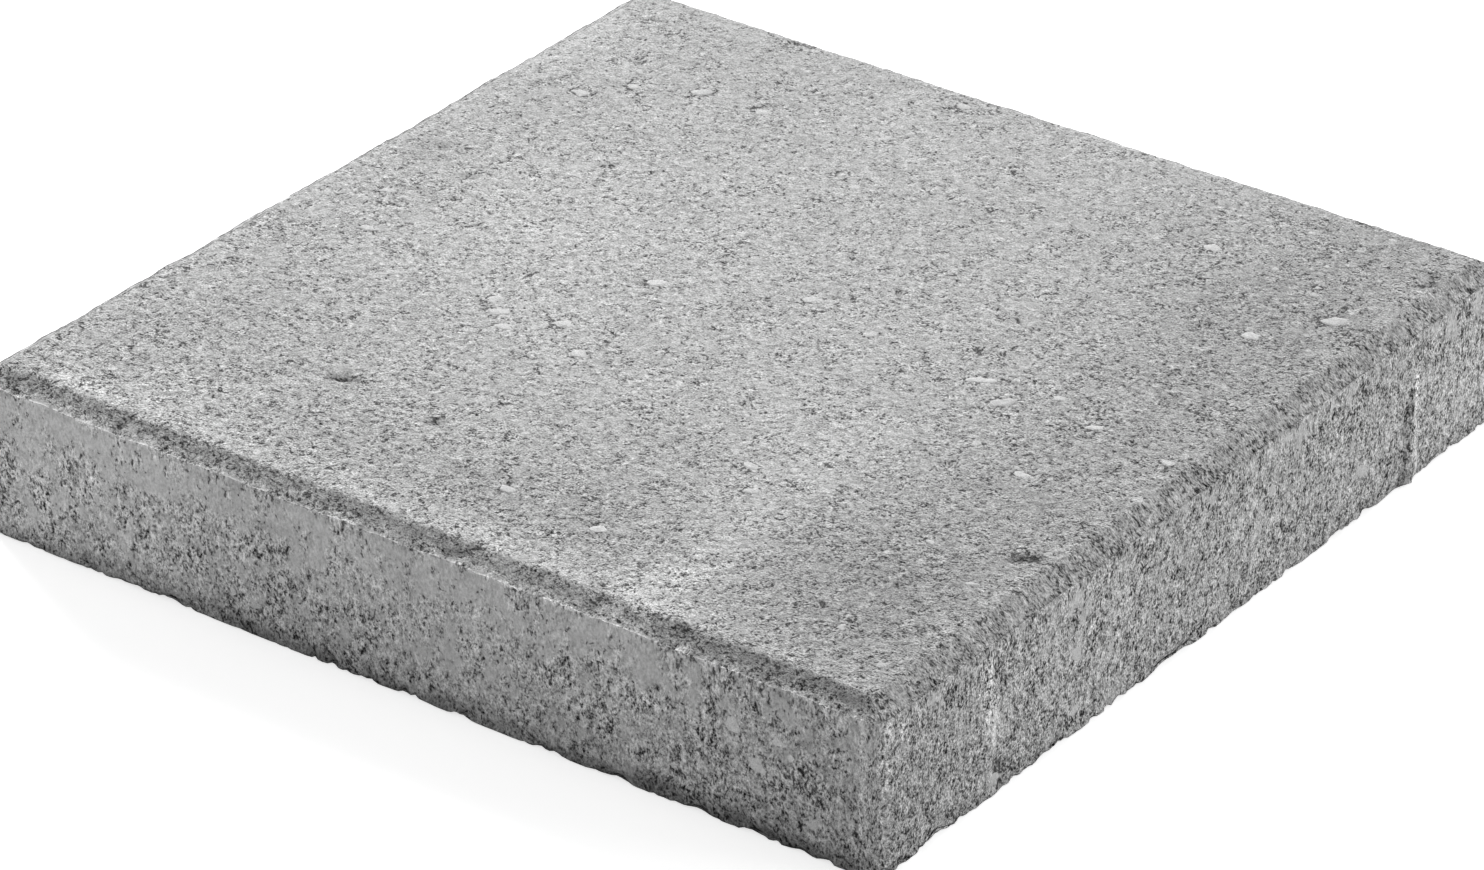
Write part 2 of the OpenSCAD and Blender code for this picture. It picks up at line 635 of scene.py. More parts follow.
    def wear(self, spots: Spots) -> np.ndarray:
        """Works out how far the cast surface lies inside the plain one.

        Lumps of 2 to 45 mm give the pressed faces their unevenness. The bevel is rougher, and chipped along
        its upper edge. The ledge at its foot is worn on the ribbed side and broken back in front in lumps
        of 6 mm. The arris has crumbled in bites of 3, 5 and 13 mm, and more deeply in the listed ones, and
        the underside has lumps of 9 mm.

        Args:
            spots: Points of the skin.

        Returns:
            Depth at each point in millimetres, never below zero.
        """
        s, points, z = self.sizes, spots.points, spots.points[:, 2]
        front, ribbed, back, _ = spots.toward.values()
        fine = self.lumps(points, self.fine_lump)
        middle = self.other(points, self.middle_lump)
        broad = self.lumps.layered(points, self.broad_lump, 2)
        depth = spots.top * (0.26 + 0.10 * (fine + middle + broad))
        depth += spots.bevel * (0.30 + 0.30 * fine + 0.20 * middle)
        depth += spots.wall * (0.20 + (0.12 + 0.05 * ribbed + 0.03 * back) * fine + 0.09 * middle)
        broken_back = 0.8 * front * self.lumps.peaks(points + 40.0, 6.0)
        depth += bell(spots.over, self.ledge_reach) * (ribbed * (0.30 + 0.25 * middle) + broken_back)

        edge = bell(z - s.thickness + 0.5, 0.7) * (spots.bevel + spots.top * (z < s.thickness))
        chips = self.other.peaks(points, 2.6, -0.1) + self.lumps.peaks(points + 30.0, 7.0)
        depth += edge * (0.05 + 0.26 * chips)

        inset = np.maximum(s.half_side - np.abs(points[:, :2]).max(axis=1), 0.0)
        reach = bell(np.hypot(z, inset), self.crumb_reach) * np.maximum(spots.wall, spots.under)
        crumbled = 2.4 * self.lumps.peaks(points + 60.0, 13.0, 0.15)
        crumbled += 2.6 * self.lumps.peaks(points + 70.0, 5.0, 0.12)
        crumbled += 3.0 * self.other.peaks(points + 90.0, 3.0, 0.12)
        for bite in BITES:
            along = points @ np.cross((0.0, 0.0, 1.0), (*bite.side.value, 0.0))
            hollow = bell(along + 0.6 * middle - bite.along, 0.5 * bite.width)
            crumbled = np.maximum(crumbled, bite.depth * hollow * spots.toward[bite.side])
        lumpy = np.maximum(self.lumps.layered(points, 9.0, 2) + 0.25, 0.0)
        depth += reach * crumbled + 0.35 * spots.under * (1.0 - reach) * lumpy
        return np.maximum(depth, 0.0)

    def ledge_wander(self, spots: Spots) -> np.ndarray:
        """Works out how far the ledge strays up or down, in lumps of 3 and 9 mm.

        Args:
            spots: Points of the skin.

        Returns:
            Rise at each point in millimetres, which is smaller on the ribbed side.
        """
        shifted = spots.points + 11.0
        calmer = 1.0 - 0.7 * smooth_step(130.0, 145.0, spots.points[:, 0])
        rise = 0.6 * self.lumps(shifted, 9.0) + 0.3 * self.other(shifted, 3.0)
        return bell(spots.over, self.ledge_reach) * calmer * rise

    def hollows(self, spots: Spots) -> tuple[np.ndarray, np.ndarray]:
        """Works out the pits of the walking face.

        Each pit is a bowl, 1 - (r / R)^2 deep, whose radius R is made ragged by noise. The large ones stand
        where they catch the eye, and small ones are strewn at random.

        Args:
            spots: Points of the skin.

        Returns:
            Depth of the pits in millimetres, and how far inside a pit each point lies, from 0 to 1.
        """
        rng = np.random.default_rng(self.pit_seed)
        half = self.sizes.half_side - self.sizes.bevel_width
        strewn = [
            Pit(*rng.uniform(-half, half, 2), rng.uniform(0.8, 1.7), rng.uniform(0.3, 0.8))
            for _ in range(self.strewn_pits)
        ]
        ragged = 1.0 + 0.45 * self.lumps(spots.points, 1.9)
        depth, inside = np.zeros((2, len(ragged)))
        for pit in (*PITS, *strewn):
            distance = np.hypot(*(spots.points[:, :2] - (pit.x, pit.y)).T) / (pit.radius * ragged)
            near = (spots.top > 0.2) & (distance < 1.5)
            bowl = np.clip(1.0 - distance[near] ** 2, 0.0, 1.0)
            depth[near] = np.maximum(depth[near], pit.depth * bowl)
            inside[near] = np.maximum(inside[near], np.clip(1.5 - distance[near], 0.0, 1.0))
        return depth, inside

    def gaps(self, spots: Spots) -> np.ndarray:
        """Works out the dark groove round each listed pebble of the walking face, whose darkness is painted
        shadow.

        It is a ring, exp(-((d - 1.2) / 0.45)^2), where d is the distance in radii of the pebble's oval. As
        painted shadow it is 1.8 times as strong towards the left and the front of the pebble, and almost gone
        across from it.

        Args:
            spots: Points of the skin.

        Returns:
            Strength of the painted shadow at each point, from 0 to 1.8.
        """
        shadow_ring = np.zeros(len(spots.points))
        for stone in STONES:
            if stone.side is not None:
                continue
            turn = math.radians(stone.turn)
            x, y = (spots.points[:, :2] - (stone.x, stone.y)).T
            along = (x * math.cos(turn) + y * math.sin(turn)) / (stone.length / 2)
            across = (y * math.cos(turn) - x * math.sin(turn)) / (stone.width / 2)
            # Painted shadow falls to the pebble's left and front.
            shadow_side = -(0.8 * x + 0.6 * y) / np.maximum(np.hypot(x, y), 0.1)
            shadow_ring = np.maximum(shadow_ring, (1.0 + 0.8 * shadow_side) * bell(np.hypot(along, across) - 1.2, 0.45))
        return spots.top * shadow_ring

    def strokes(self, spots: Spots) -> tuple[np.ndarray, np.ndarray]:
        """Works out the lines that are drawn on the skin.

        Each is a bell curve of the distance to a straight segment, and noise makes its radius ragged.

        Args:
            spots: Points of the skin.

        Returns:
            Change of tone, and how broken open the skin is, at each point.
        """
        ragged = 1.0 + 0.5 * self.other(spots.points, 3.0)
        tone, broken = np.zeros((2, len(ragged)))
        for stroke in STROKES:
            along = np.subtract(stroke.end, stroke.start)
            offset = spots.points - stroke.start
            share = np.clip(offset @ along / (along @ along), 0.0, 1.0)
            drawn = bell(np.linalg.norm(offset - share[:, None] * along, axis=1), stroke.radius * ragged)
            tone += stroke.tone * drawn
            broken = np.maximum(broken, stroke.broken * drawn)
        return tone, broken

    def tone(self, spots: Spots) -> np.ndarray:
        """Works out how pale the surface is against its mean colour.

        Patches are bell curves, and clouds of 6 to 26 mm lie between them, drawn out upwards on the front
        side. The bevel is darker, partly as a rougher face and partly as painted shade, but for a painted
        highlight along its foot in front. The ledge carries a painted highlight in broken lengths, above a
        line of painted shade just under it, and it and the bevel have streaks drawn out 8 times along the
        front.
        Painted light makes the ribbed side paler. The sides darken towards the underside as painted shade,
        and an uneven band of painted shade runs along it.

        Args:
            spots: Points of the skin.

        Returns:
            A factor on the colour at each point, near 1.
        """
        points, z = spots.points, spots.points[:, 2]
        front, ribbed, back, _ = spots.toward.values()
        clouds = 0.06 * self.lumps.layered(points, 26.0, 3) + 0.05 * self.other.layered(points, 6.0, 2)
        clouds += 0.10 * self.other.layered(points * (1.0, 1.0, 0.4), 11.0, 2) * spots.wall * front
        for patch in PATCHES:
            away = np.linalg.norm(points - (patch.x, patch.y, patch.z), axis=1)
            clouds += patch.tone * bell(away, patch.radius)
        broken = 0.35 + 0.65 * smooth_step(-0.55, -0.05, self.other.layered(points, 8.0, 3))
        # Painted highlight on the ledge, in broken lengths.
        ledge = bell(spots.over + 0.2, 0.9) * broken * (1.0 + 0.5 * self.lumps(points + 5.0, 2.6))
        # Painted shade just under the ledge.
        crease_shade = bell(spots.over + 1.2, 0.75)
        # Painted shade towards the underside, where the floor beside the slab lies in its shadow.
        low = smooth_step(8.0, 0.0, z + 4.0 * self.lumps(points, 16.0)) * (spots.wall + spots.under)
        painted_light = (0.16 - 0.136 * ribbed) * ledge - (0.10 - 0.05 * ribbed) * crease_shade
        # Painted light makes the ribbed side paler, and the painted shade towards the underside is weaker
        # there.
        painted_light += (0.02 + 0.10 * ribbed) * spots.wall - (0.46 - 0.322 * ribbed) * low
        # The bevel is darker, partly a rougher face and partly painted shade, with a painted highlight along
        # its foot in front.
        bevel = 0.30 * bell(spots.over - 0.8, 0.8) * front - 0.24 + 0.22 * ribbed + 0.15 * back
        streaks = 0.11 * self.other(points * (0.12, 1.0, 1.0), 1.1) * front * (spots.bevel + ledge)
        # Painted shade over the lowest 30 mm of the sides.
        low_wall_shade = 0.06 * smooth_step(30.0, 4.0, z) * spots.wall
        return 1.0 + clouds + bevel * spots.bevel + painted_light - low_wall_shade + streaks

    def shares(self, spots: Spots) -> dict[str, np.ndarray]:
        """Works out how the finish differs from one part of the skin to another.

        The walking face is coarser towards +X and along the front, where the cement was lost, and calmer
        towards its back left corner. Film covers the sides most high up and least along the underside. The
        grit and the relief show most on the ribbed side.

        Args:
            spots: Points of the skin.

        Returns:
            The share that film covers, the share that is open, and factors near 1 on the grit and the relief.
        """
        top, bevel, wall, under = spots.top, spots.bevel, spots.wall, spots.under
        front, ribbed, back, left = spots.toward.values()
        x, y, z = spots.points.T
        wander = 14.0 * self.lumps(spots.points, 30.0)
        bare = np.maximum(smooth_step(40.0, 115.0, x + wander), smooth_step(-60.0, -125.0, y + wander))
        coarse = 0.75 * top * bare
        calm = smooth_step(-20.0, 150.0, y - 0.3 * x)
        right_part = 0.1 * front * smooth_step(20.0, 90.0, x)

        smooth = 0.42 * front + 0.2 * ribbed + 0.3 * back + 0.5 * left
        smooth += 0.12 * smooth_step(20.0, 44.0, z) - 0.3 * smooth_step(12.0, 3.0, z)
        smooth += 0.2 * front * smooth_step(32.0, 37.0, z) * smooth_step(46.0, 43.0, z)
        smooth -= 0.24 * front * smooth_step(20.0, 120.0, x)
        grain = (1.10 - 0.18 * calm) * top + 0.3 * coarse + (1.5 + 0.1 * ribbed) * bevel + 2.0 * under
        grain += (1.9 - 0.3 * front - 0.55 * (back + left) + right_part) * wall
        relief = (0.95 - 0.14 * calm) * top + 0.35 * coarse + (1.1 + 0.3 * ribbed) * bevel + 1.6 * under
        relief += (1.45 - 0.25 * front + 1.35 * ribbed - 0.25 * left + right_part) * wall
        return {
            "film": np.clip(0.14 * top + 0.05 * bevel + smooth * wall, 0.0, 1.0),
            "open": 0.2 * coarse + (0.06 + 0.02 * front) * wall + (0.35 - 0.25 * ribbed) * bevel,
            "grain": grain,
            "relief": relief,
        }

    def pattern_place(self, spots: Spots) -> np.ndarray:
        """Works out where in the pattern each point lies, so that the grit is drawn out where it was dragged.

        Down the bevel, the position moves outwards by a further 0.6 of the run, which packs the pattern, but
        on the ribbed side it moves by 0.25 of the run less. Heights are pressed by 0.26, those of the sides'
        uppermost 6 mm by a further 0.12, and those of the ribbed side's bevel by 0.35, which draws the
        pattern out by as much.

        Args:
            spots: Points of the skin.

        Returns:
            Positions in the pattern, in metres.
        """
        s, z, ribbed = self.sizes, spots.points[:, 2], spots.toward[Side.RIBBED]
        drop = np.clip((s.thickness - z) / s.bevel_height, 0.0, 1.0)
        extra = (0.6 - 0.85 * ribbed) * (s.bevel_width - s.shoulder_width) * drop * (1 - spots.under)
        plan = spots.points[:, :2] + in_plan(spots.normals) * extra[:, None]
        height = z - 0.26 * np.clip(z, 0.0, s.shoulder_height) - 0.12 * np.clip(spots.over + 6.0, 0.0, 6.0)
        height -= 0.35 * ribbed * np.clip(spots.over, 0.0, s.bevel_height)
        return np.column_stack([plan, height]) * MM

    def build(self, material: bpy.types.Material) -> bpy.types.Object:
        """Makes the skin's object.

        Args:
            material: Finish of the skin.

        Returns:
            The finished object.
        """
        points, *groups = self.surface()
        spots = self.spots(points, self.normals(points, *groups))
        pit_depth, pit_inside = self.hollows(spots)
        line_tone, line_broken = self.strokes(spots)
        depth = self.wear(spots) + pit_depth + self.stroke_depth * line_broken
        moved = points - spots.normals * depth[:, None]
        moved[:, 0] += self.rib_rise(spots)
        moved[:, 2] += self.ledge_wander(spots)
        s = self.sizes
        high = (s.half_side + s.joint_width, s.half_side, s.thickness)
        moved = np.clip(moved, (-s.half_side, -s.half_side, 0.0), high)
        marks = self.shares(spots)
        # The hollow mark takes in the painted shadow rings round the pebbles.
        marks["hollow"] = np.max([pit_inside, line_broken, marks.pop("open"), 0.9 * self.gaps(spots)], axis=0)
        marks["tone"] = self.tone(spots) + line_tone
        marks["place"] = self.pattern_place(spots)
        return make_mesh("slab_body", moved, groups, material, marks)


@dataclass(frozen=True)
class BareStones:
    """Pebbles that lie bare in the walking face and in the sides, where the tamping wiped the cement off.

    Beside the listed ones, a number of small ones are strewn at random. Each ring of a pebble's lens is a
    share of its reach and a share of its crest.
    """

    skin: SlabSkin
    strewn: int = 110
    around: int = 11
    rings: tuple[tuple[float, float], ...] = ((0.45, 1.0), (0.8, 0.75), (1.0, 0.1), (1.05, -0.5))
    foot_depth: float = 0.6
    seed: int = 47
    outline_seed: int = 53

    def all(self) -> list[Stone]:
        """Lists the large pebbles and the small ones, of which two in three lie in the walking face.

        Returns:
            The listed pebbles and the strewn ones.
        """
        rng = np.random.default_rng(self.seed)
        sizes = self.skin.sizes
        reach = sizes.half_side - sizes.bevel_width - 2.0
        small = []
        for number in range(self.strewn):
            side = rng.choice(list(Side)) if number % 3 == 0 else None
            height = rng.uniform(5.0, sizes.shoulder_height - 3.0)
            x = rng.uniform(-reach, reach)
            y = rng.uniform(-reach, reach) if side is None else height
            length, width = rng.uniform(1.4, 3.2), rng.uniform(1.0, 2.0)
            small.append(Stone(x, y, length, width, rng.uniform(0, 180), rng.uniform(0.80, 1.02), side))
        return [*STONES, *small]

    def frame(self, one: Stone) -> np.ndarray:
        """Gives a pebble's own axes, which are along, up and out of its face after its turn, and its place.

        Args:
            one: The pebble.

        Returns:
            Four rows: three axes and the place, in millimetres.
        """
        sizes = self.skin.sizes
        if one.side is None:
            along, up, out = np.eye(3)
            place = np.array((one.x, one.y, sizes.thickness))
        else:
            out, up = np.array((*one.side.value, 0.0)), np.array((0.0, 0.0, 1.0))
            along = np.cross(up, out) * (-1.0 if one.side in (Side.BACK, Side.LEFT) else 1.0)
            place = along * one.x + up * one.y + out * sizes.half_side
        turn = math.radians(one.turn)
        length = along * math.cos(turn) + up * math.sin(turn)
        return np.stack([length, np.cross(out, length), out, place])

    def build(self, material: bpy.types.Material) -> bpy.types.Object:
        """Makes the pebbles as one object.

        Each is a low closed lens: rings of an oval at set shares of its reach, each at a set share of its
        crest, with an outline that noise makes uneven. Its crest is 0.14 to 0.26 mm, but never above the
        plain surface.

        Args:
            material: Finish of the pebbles.

        Returns:
            The finished object.
        """
        stones = self.all()
        rng = np.random.default_rng(self.outline_seed)
        count = len(stones)
        axes = np.stack([self.frame(one) for one in stones])
        length, width, out, place = (axes[:, row] for row in range(4))
        depth = self.skin.wear(self.skin.spots(place, out))
        crest = np.minimum(rng.uniform(0.14, 0.26, count), depth)
        reach = np.array([(one.length / 2, one.width / 2) for one in stones])
        turn = np.arange(self.around) / self.around * 2 * math.pi
        uneven = 1.0 + 0.2 * rng.normal(size=(count, 1, self.around))
        ring_reach, ring_rise = np.array(self.rings).T
        share = ring_reach[None, :, None] * uneven
        across = (share * np.cos(turn) * reach[:, 0, None, None])[..., None] * length[:, None, None]
        aside = (share * np.sin(turn) * reach[:, 1, None, None])[..., None] * width[:, None, None]
        rise = ring_rise[None, :] * crest[:, None] - depth[:, None]
        lift = rise[:, :, None, None] * out[:, None, None]
        rings = (place[:, None, None] + across + aside + lift).reshape(count, -1, 3)
        peak = (place + out * (crest - depth)[:, None])[:, None]
        foot = (place - out * (depth + self.foot_depth)[:, None])[:, None]
        points = np.concatenate([rings, peak, foot], axis=1)

        index = np.arange(len(self.rings) * self.around).reshape(len(self.rings), self.around)
        right = np.roll(index, -1, axis=1)
        quads = np.stack([index[:-1], index[1:], right[1:], right[:-1]], -1).reshape(-1, 4)
        tip, base = np.full(self.around, index.size), np.full(self.around, index.size + 1)
        fans = np.stack([(tip, index[0], right[0]), (base, right[-1], index[-1])], axis=0)
        fans = fans.swapaxes(1, 2).reshape(-1, 3)
        step = (np.arange(count) * points.shape[1])[:, None, None]
        faces = [(group[None] + step).reshape(-1, group.shape[1]) for group in (quads, fans)]
        shade = np.repeat([one.tone for one in stones], points.shape[1])
        return make_mesh("bare_stones", points.reshape(-1, 3), faces, material, {"tone": shade})


def link_object(name: str, data: bpy.types.ID) -> bpy.types.Object:
    """Makes an object at the origin and links it to the scene.

    Args:
        name: Name of the object.
        data: Its mesh, camera or light.

    Returns:
        The object.
    """
    made = bpy.data.objects.new(name, data)
    bpy.context.scene.collection.objects.link(made)
    return made


def make_mesh(
    name: str,
    points: np.ndarray,
    faces: list[np.ndarray],
    material: bpy.types.Material,
    marks: dict[str, np.ndarray],
) -> bpy.types.Object:
    """Puts arrays into a mesh object at the origin.

    Args:
        name: Name of the object.
        points: Points in millimetres.
        faces: Arrays of faces, each with one number of corners.
        material: Finish of the object.
        marks: Values at the points that the finish reads, by name.

    Returns:
        The object, linked to the scene.
    """
    mesh = bpy.data.meshes.new(name)
    mesh.from_pydata(points * MM, [], [face for group in faces for face in group.tolist()])
    mesh.polygons.foreach_set("use_smooth", np.ones(len(mesh.polygons), bool))
    for mark, values in marks.items():
        kind, part = ("FLOAT", "value") if values.ndim == 1 else ("FLOAT_VECTOR", "vector")
        mesh.attributes.new(mark, kind, "POINT").data.foreach_set(part, values.astype(np.float32).ravel())
    mesh.materials.append(material)
    mesh.validate()
    mesh.update()
    return link_object(name, mesh)


class Kind(Enum):
    """Kinds of node, each as Blender's name of its type and the settings that go with it."""

    ADD = ("ShaderNodeMath", {"operation": "ADD"})
    SUBTRACT = ("ShaderNodeMath", {"operation": "SUBTRACT"})
    MULTIPLY = ("ShaderNodeMath", {"operation": "MULTIPLY"})
    MULTIPLY_ADD = ("ShaderNodeMath", {"operation": "MULTIPLY_ADD"})
    RANGE = ("ShaderNodeMapRange", {})
    SMOOTH_RANGE = ("ShaderNodeMapRange", {"interpolation_type": "SMOOTHSTEP"})
    SHIFT = ("ShaderNodeVectorMath", {"operation": "ADD"})
    BEND = ("ShaderNodeVectorMath", {"operation": "MULTIPLY_ADD"})
    SCALE = ("ShaderNodeVectorMath", {"operation": "SCALE"})
    CHANNELS = ("ShaderNodeSeparateColor", {})
    NOISE = ("ShaderNodeTexNoise", {})
    CELLS = ("ShaderNodeTexVoronoi", {})
    MARK = ("ShaderNodeAttribute", {})
    PLACE = ("ShaderNodeTexCoord", {})
    BUMP = ("ShaderNodeBump", {})
    PRINCIPLED = ("ShaderNodeBsdfPrincipled", {})
    DIFFUSE = ("ShaderNodeBsdfDiffuse", {})
    EMISSION = ("ShaderNodeEmission", {})
    BOTH = ("ShaderNodeAddShader", {})
    MATERIAL_OUTPUT = ("ShaderNodeOutputMaterial", {})
    LIGHT_PATH = ("ShaderNodeLightPath", {})
    BACKGROUND = ("ShaderNodeBackground", {})
    WORLD_OUTPUT = ("ShaderNodeOutputWorld", {})


def add_node(tree: bpy.types.NodeTree, kind: Kind, *inputs: object, **named: object) -> bpy.types.Node:
    """Adds a node with its settings, values and links.

    Args:
        tree: Node tree to add to.
        kind: Kind of the node.
        inputs: Value or source of each input in order. A node as a source stands for its first output.
        named: Value or source of further inputs by name, and further settings.

    Returns:
        The new node.
    """
    type_name, settings = kind.value
    node = tree.nodes.new(type_name)
    for key, value in (*settings.items(), *enumerate(inputs), *named.items()):
        source = value.outputs[0] if isinstance(value, bpy.types.Node) else value
        if isinstance(key, str) and key not in node.inputs:
            setattr(node, key, value)
        elif isinstance(source, bpy.types.NodeSocket):
            tree.links.new(source, node.inputs[key])
        else:
            node.inputs[key].default_value = source
    return node


def start_nodes(owner: bpy.types.Material | bpy.types.World) -> partial[bpy.types.Node]:
    """Empties the node tree of a material or a world.

    Args:
        owner: The material or the world.

    Returns:
        The function that adds a node, bound to that tree.
    """
    owner.use_nodes = True
    owner.node_tree.nodes.clear()
    return partial(add_node, owner.node_tree)


def per_metre(size: float) -> float:
    """Turns a pattern's size in millimetres into a texture scale on metre coordinates."""
    return 1.0 / (size * MM)


@dataclass(frozen=True)
class PressedConcrete:
    """Grey concrete that was tamped nearly dry into a steel mould.

    Its sand shows as fine grit, with gaps and pores between the grains. Where cement film was dragged along
    the mould the surface is smooth, and elsewhere short gaps curl round the grains, darkened with painted
    shade. It is dull all over. The finest grit is drawn at 0.6 mm, a little coarser than real cement dust,
    which would be too fine to show.
    """

    mean: str = "#c0c0c0"
    roughness: float = 0.92
    specular: float = 0.35
    grain_size: float = 1.2
    fine_size: float = 0.6
    relief_size: float = 2.3
    pore_size: float = 1.15
    porous_size: float = 6.5
    film_size: float = 9.0
    bend_size: float = 2.4
    bend_reach: float = 1.6

    def material(self) -> bpy.types.Material:
        """Builds the node material.

        Heights and tones are the same patterns: what lies high is pale, partly wear and partly painted light,
        and what lies low is dark, partly dirt and partly painted shade.

        Returns:
            The material.
        """
        made = bpy.data.materials.new("pressed_concrete")
        add = start_nodes(made)
        place = add(Kind.MARK, attribute_name="place").outputs["Vector"]
        tone, film, hollow, grain, relief = (
            add(Kind.MARK, attribute_name=mark).outputs["Fac"]
            for mark in ("tone", "film", "hollow", "grain", "relief")
        )
        bend = add(Kind.NOISE, Vector=place, Scale=per_metre(self.bend_size), Detail=1.0)
        off = add(Kind.SHIFT, bend.outputs["Color"], (-0.5,) * 3)
        bent = add(Kind.BEND, off, (self.bend_reach * MM,) * 3, place)

        clouds = add(Kind.NOISE, Vector=place, Scale=per_metre(self.film_size), Detail=4.0, Roughness=0.68)
        above = add(Kind.SUBTRACT, clouds, add(Kind.RANGE, film, 0.0, 1.0, 0.72, 0.30))
        smooth = add(Kind.SMOOTH_RANGE, above, -0.05, 0.07, 0.0, 1.0)

        coarse = add(Kind.NOISE, Vector=bent, Scale=per_metre(self.relief_size), Detail=2.0, Roughness=0.75)
        fine = add(Kind.NOISE, Vector=place, Scale=per_metre(self.fine_size), Detail=1.0, Roughness=0.8)
        porous = add(Kind.NOISE, Vector=place, Scale=per_metre(self.porous_size), Detail=3.0, Roughness=0.6)
        pore = add(Kind.NOISE, Vector=bent, Scale=per_metre(self.pore_size), Detail=1.0, Roughness=0.7)
        porous_mid = add(Kind.SUBTRACT, porous, 0.5)
        porous_mid = add(Kind.MULTIPLY, porous_mid, add(Kind.RANGE, grain, 1.2, 1.9, 0.63, 0.65))
        level = add(Kind.ADD, pore, add(Kind.MULTIPLY, porous_mid, -0.65))
        level = add(Kind.MULTIPLY_ADD, smooth, 0.06, level)
        level = add(Kind.MULTIPLY_ADD, hollow, -0.14, level)
        pit = add(Kind.SMOOTH_RANGE, level, 0.36, 0.26, 0.0, 1.0)

        calm = add(Kind.RANGE, smooth, 0.0, 1.0, 1.15, 0.38)
        calm = add(Kind.MULTIPLY, calm, add(Kind.RANGE, porous_mid, -0.15, 0.15, 0.60, 1.45))
        coarse_mid = add(Kind.SUBTRACT, coarse, 0.5)
        fine_mid = add(Kind.SUBTRACT, fine, 0.5)
        high = add(Kind.MULTIPLY, fine_mid, 0.3)
        high = add(Kind.MULTIPLY_ADD, coarse_mid, 1.2, high)
        high = add(Kind.MULTIPLY, high, calm)
        high = add(Kind.MULTIPLY_ADD, pit, -0.5, high)
        height = add(Kind.MULTIPLY, high, relief)
        bump = add(Kind.BUMP, Strength=1.0, Distance=MM, Height=height)

        grains = add(Kind.CELLS, Vector=bent, Scale=per_metre(self.grain_size))
        pale = add(Kind.RANGE, add(Kind.CHANNELS, grains.outputs["Color"]), 0.90, 0.98, 0.0, 0.16)
        # The grit's colour follows the relief: paler on the high parts, partly wear and partly painted light,
        # and darker in the low parts, partly dirt and partly painted shade.
        grit = add(Kind.MULTIPLY_ADD, coarse_mid, 1.4, pale)
        grit = add(Kind.MULTIPLY_ADD, fine_mid, 1.7, grit)
        grit = add(Kind.MULTIPLY, grit, calm)
        grit = add(Kind.MULTIPLY_ADD, grit, grain, 1.0)
        # Painted shade in the pits and other hollows, and the painted shadow rings round the pebbles.
        dark = add(Kind.MULTIPLY, pit, add(Kind.RANGE, grain, 1.0, 2.0, 0.64, 0.58))
        shade = add(Kind.SUBTRACT, 1.0, dark)
        factor = add(Kind.MULTIPLY, grit, tone)
        factor = add(Kind.MULTIPLY, factor, shade)
        surface = {
            "Base Color": add(Kind.SCALE, linear(self.mean)[:3], Scale=factor),
            "Roughness": self.roughness,
            "IOR": 1.5,
            "Specular IOR Level": self.specular,
            "Normal": bump,
        }
        add(Kind.MATERIAL_OUTPUT, Surface=add(Kind.PRINCIPLED, **surface))
        return made


@dataclass(frozen=True)
class BareStone:
    """Pale river gravel, quartz and limestone, rubbed by the tamping plate with a haze of cement left on it.

    It is a little smoother and paler than the mortar round it, with faint clouds and fine dark specks.
    """

    mean: str = "#dbdbdb"
    roughness: float = 0.7
    cloud_size: float = 1.6
    speck_size: float = 0.45
    relief: float = 0.25

    def material(self) -> bpy.types.Material:
        """Builds the node material.

        Returns:
            The material.
        """
        made = bpy.data.materials.new("bare_stone")
        add = start_nodes(made)
        place = add(Kind.PLACE).outputs["Object"]
        tone = add(Kind.MARK, attribute_name="tone").outputs["Fac"]
        cloud = add(Kind.NOISE, Vector=place, Scale=per_metre(self.cloud_size), Detail=2.0)
        speck = add(Kind.NOISE, Vector=place, Scale=per_metre(self.speck_size), Detail=1.0)
        cloud_tone = add(Kind.RANGE, cloud, 0.25, 0.75, 0.84, 1.12)
        speck_tone = add(Kind.RANGE, speck, 0.25, 0.75, 0.78, 1.16)
        factor = add(Kind.MULTIPLY, add(Kind.MULTIPLY, cloud_tone, speck_tone), tone)
        height = add(Kind.ADD, cloud, speck)
        surface = {
            "Base Color": add(Kind.SCALE, linear(self.mean)[:3], Scale=factor),
            "Roughness": self.roughness,
            "IOR": 1.5,
            "Normal": add(Kind.BUMP, Strength=1.0, Distance=self.relief * MM, Height=height),
        }
        add(Kind.MATERIAL_OUTPUT, Surface=add(Kind.PRINCIPLED, **surface))
        return made


@dataclass(frozen=True)
class Lamp:
    """A distant soft lamp: its strength, how wide it looks in degrees, and where it stands."""

    strength: float
    width: float
    direction: tuple[float, float, float]


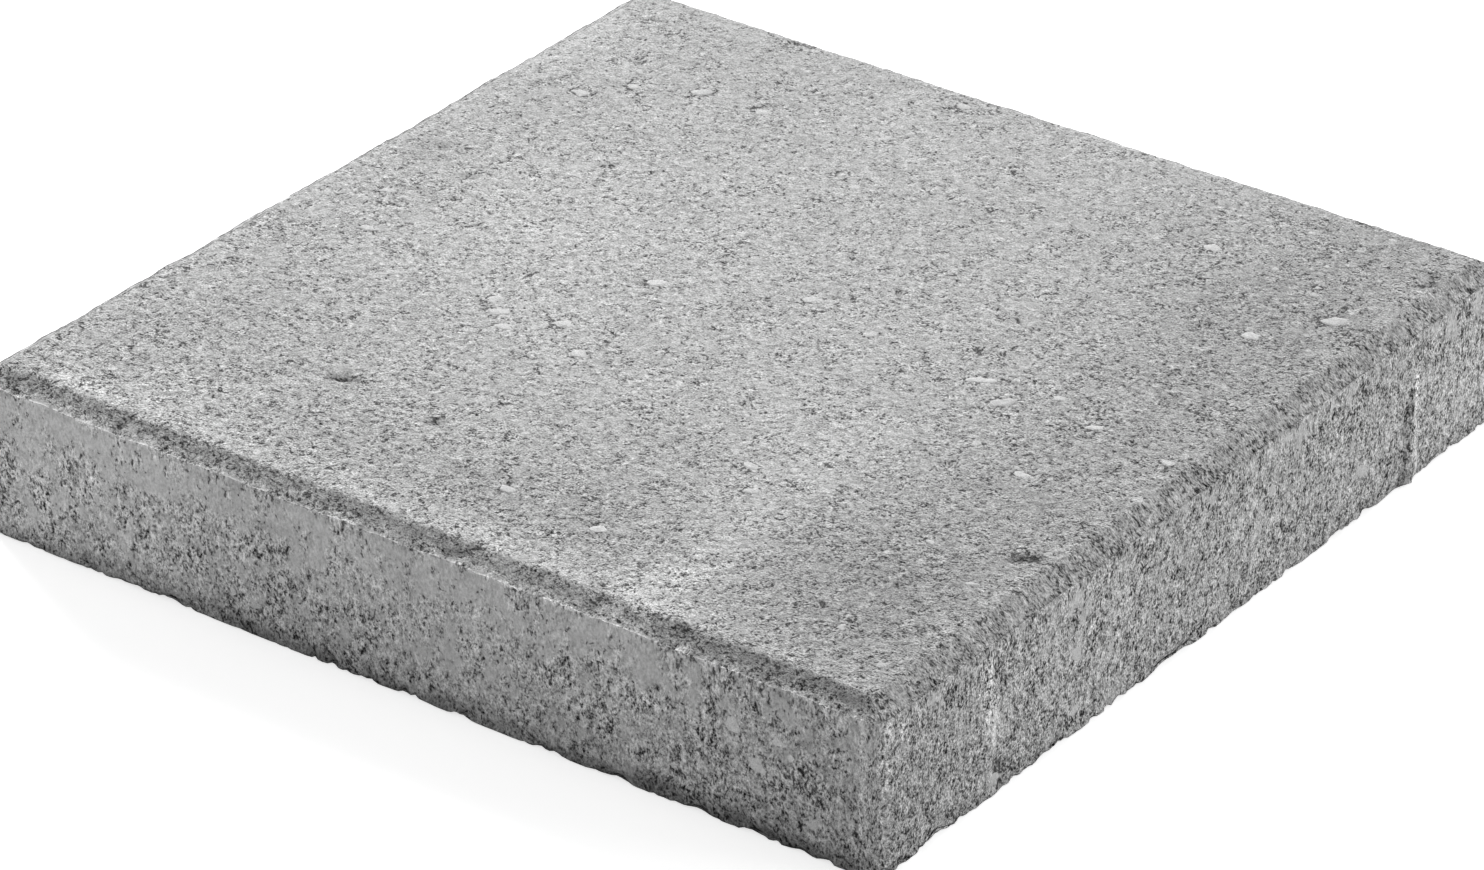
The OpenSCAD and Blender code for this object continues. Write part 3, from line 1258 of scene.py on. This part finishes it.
@dataclass(frozen=True)
class Studio:
    """A pale floor, an even sky, a soft key lamp behind the slab, and weaker ones in front and at right."""

    camera_place: tuple[float, float, float] = (951.7, -1292.6, 909.6)
    camera_aim: tuple[float, float, float] = (12.6, -20.9, 24.7)
    lens: float = 163.12
    sensor: float = 36.0
    far_end: float = 50.0
    floor_half: float = 4000.0
    floor_glow: float = 0.66
    sky: float = 0.38
    key: Lamp = Lamp(3.0, 22.0, (-0.8, 0.55, 0.5))
    fill: Lamp = Lamp(0.30, 30.0, (0.45, -0.85, 0.3))
    side: Lamp = Lamp(1.15, 30.0, (0.8, 0.45, 0.35))

    @staticmethod
    def turn_to(direction: np.ndarray) -> tuple[float, float, float]:
        """Gives the Euler angles that point a camera or a lamp along a direction, the right way up."""
        x, y, z = direction
        return (math.atan2(math.hypot(x, y), -z), 0.0, math.atan2(y, x) - math.pi / 2)

    def add_camera(self) -> None:
        """Puts the camera in its place and makes it the scene's camera."""
        camera = bpy.data.cameras.new("camera")
        camera.lens = self.lens
        camera.sensor_width = self.sensor
        camera.clip_end = self.far_end
        held = link_object("camera", camera)
        place, aim = (np.array(point) * MM for point in (self.camera_place, self.camera_aim))
        held.location = place
        held.rotation_euler = self.turn_to(aim - place)
        bpy.context.scene.camera = held

    def add_light(self) -> None:
        """Adds the even sky, which the camera sees as white, and the lamps."""
        world = bpy.data.worlds.new("studio")
        add = start_nodes(world)
        seen = add(Kind.RANGE, add(Kind.LIGHT_PATH).outputs["Is Camera Ray"], 0.0, 1.0, self.sky, 1.0)
        sky = add(Kind.BACKGROUND, Color=WHITE, Strength=seen)
        add(Kind.WORLD_OUTPUT, Surface=sky)
        bpy.context.scene.world = world
        for name, lamp in (("key", self.key), ("fill", self.fill), ("side", self.side)):
            light = bpy.data.lights.new(name, "SUN")
            light.energy = lamp.strength
            light.angle = math.radians(lamp.width)
            link_object(name, light).rotation_euler = self.turn_to(-np.array(lamp.direction))

    def add_floor(self) -> None:
        """Adds the floor, which looks white where nothing shades it."""
        paint = bpy.data.materials.new("floor_paint")
        add = start_nodes(paint)
        lift = add(Kind.MULTIPLY, add(Kind.LIGHT_PATH).outputs["Is Camera Ray"], self.floor_glow)
        glow = add(Kind.EMISSION, Color=WHITE, Strength=lift)
        matt = add(Kind.DIFFUSE, Color=linear("#e6e6e6"))
        add(Kind.MATERIAL_OUTPUT, Surface=add(Kind.BOTH, matt, glow))
        corners = np.array([(-1, -1, 0), (1, -1, 0), (1, 1, 0), (-1, 1, 0)]) * self.floor_half
        floor = make_mesh("floor", corners, [np.array([[0, 1, 2, 3]])], paint, {})


def dress(piece: bpy.types.Object) -> None:
    """Hangs a piece on the slab's one body and reports it.

    Args:
        piece: The finished piece.
    """
    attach(piece, BODY)
    LOG.info("%s: %d points, %d faces", piece.name, len(piece.data.vertices), len(piece.data.polygons))


def main() -> None:
    """Builds the slab and its studio."""
    logging.basicConfig(level=logging.INFO, format="%(name)s: %(message)s")
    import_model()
    skin = SlabSkin(SlabSizes.from_frame())
    body = skin.build(PressedConcrete().material())
    for piece in (body, BareStones(skin).build(BareStone().material())):
        dress(piece)
    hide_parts(NODE)
    studio = Studio()
    studio.add_camera()
    studio.add_light()
    studio.add_floor()
    bpy.context.scene.view_settings.view_transform = "Standard"


if __name__ == "__main__":
    main()
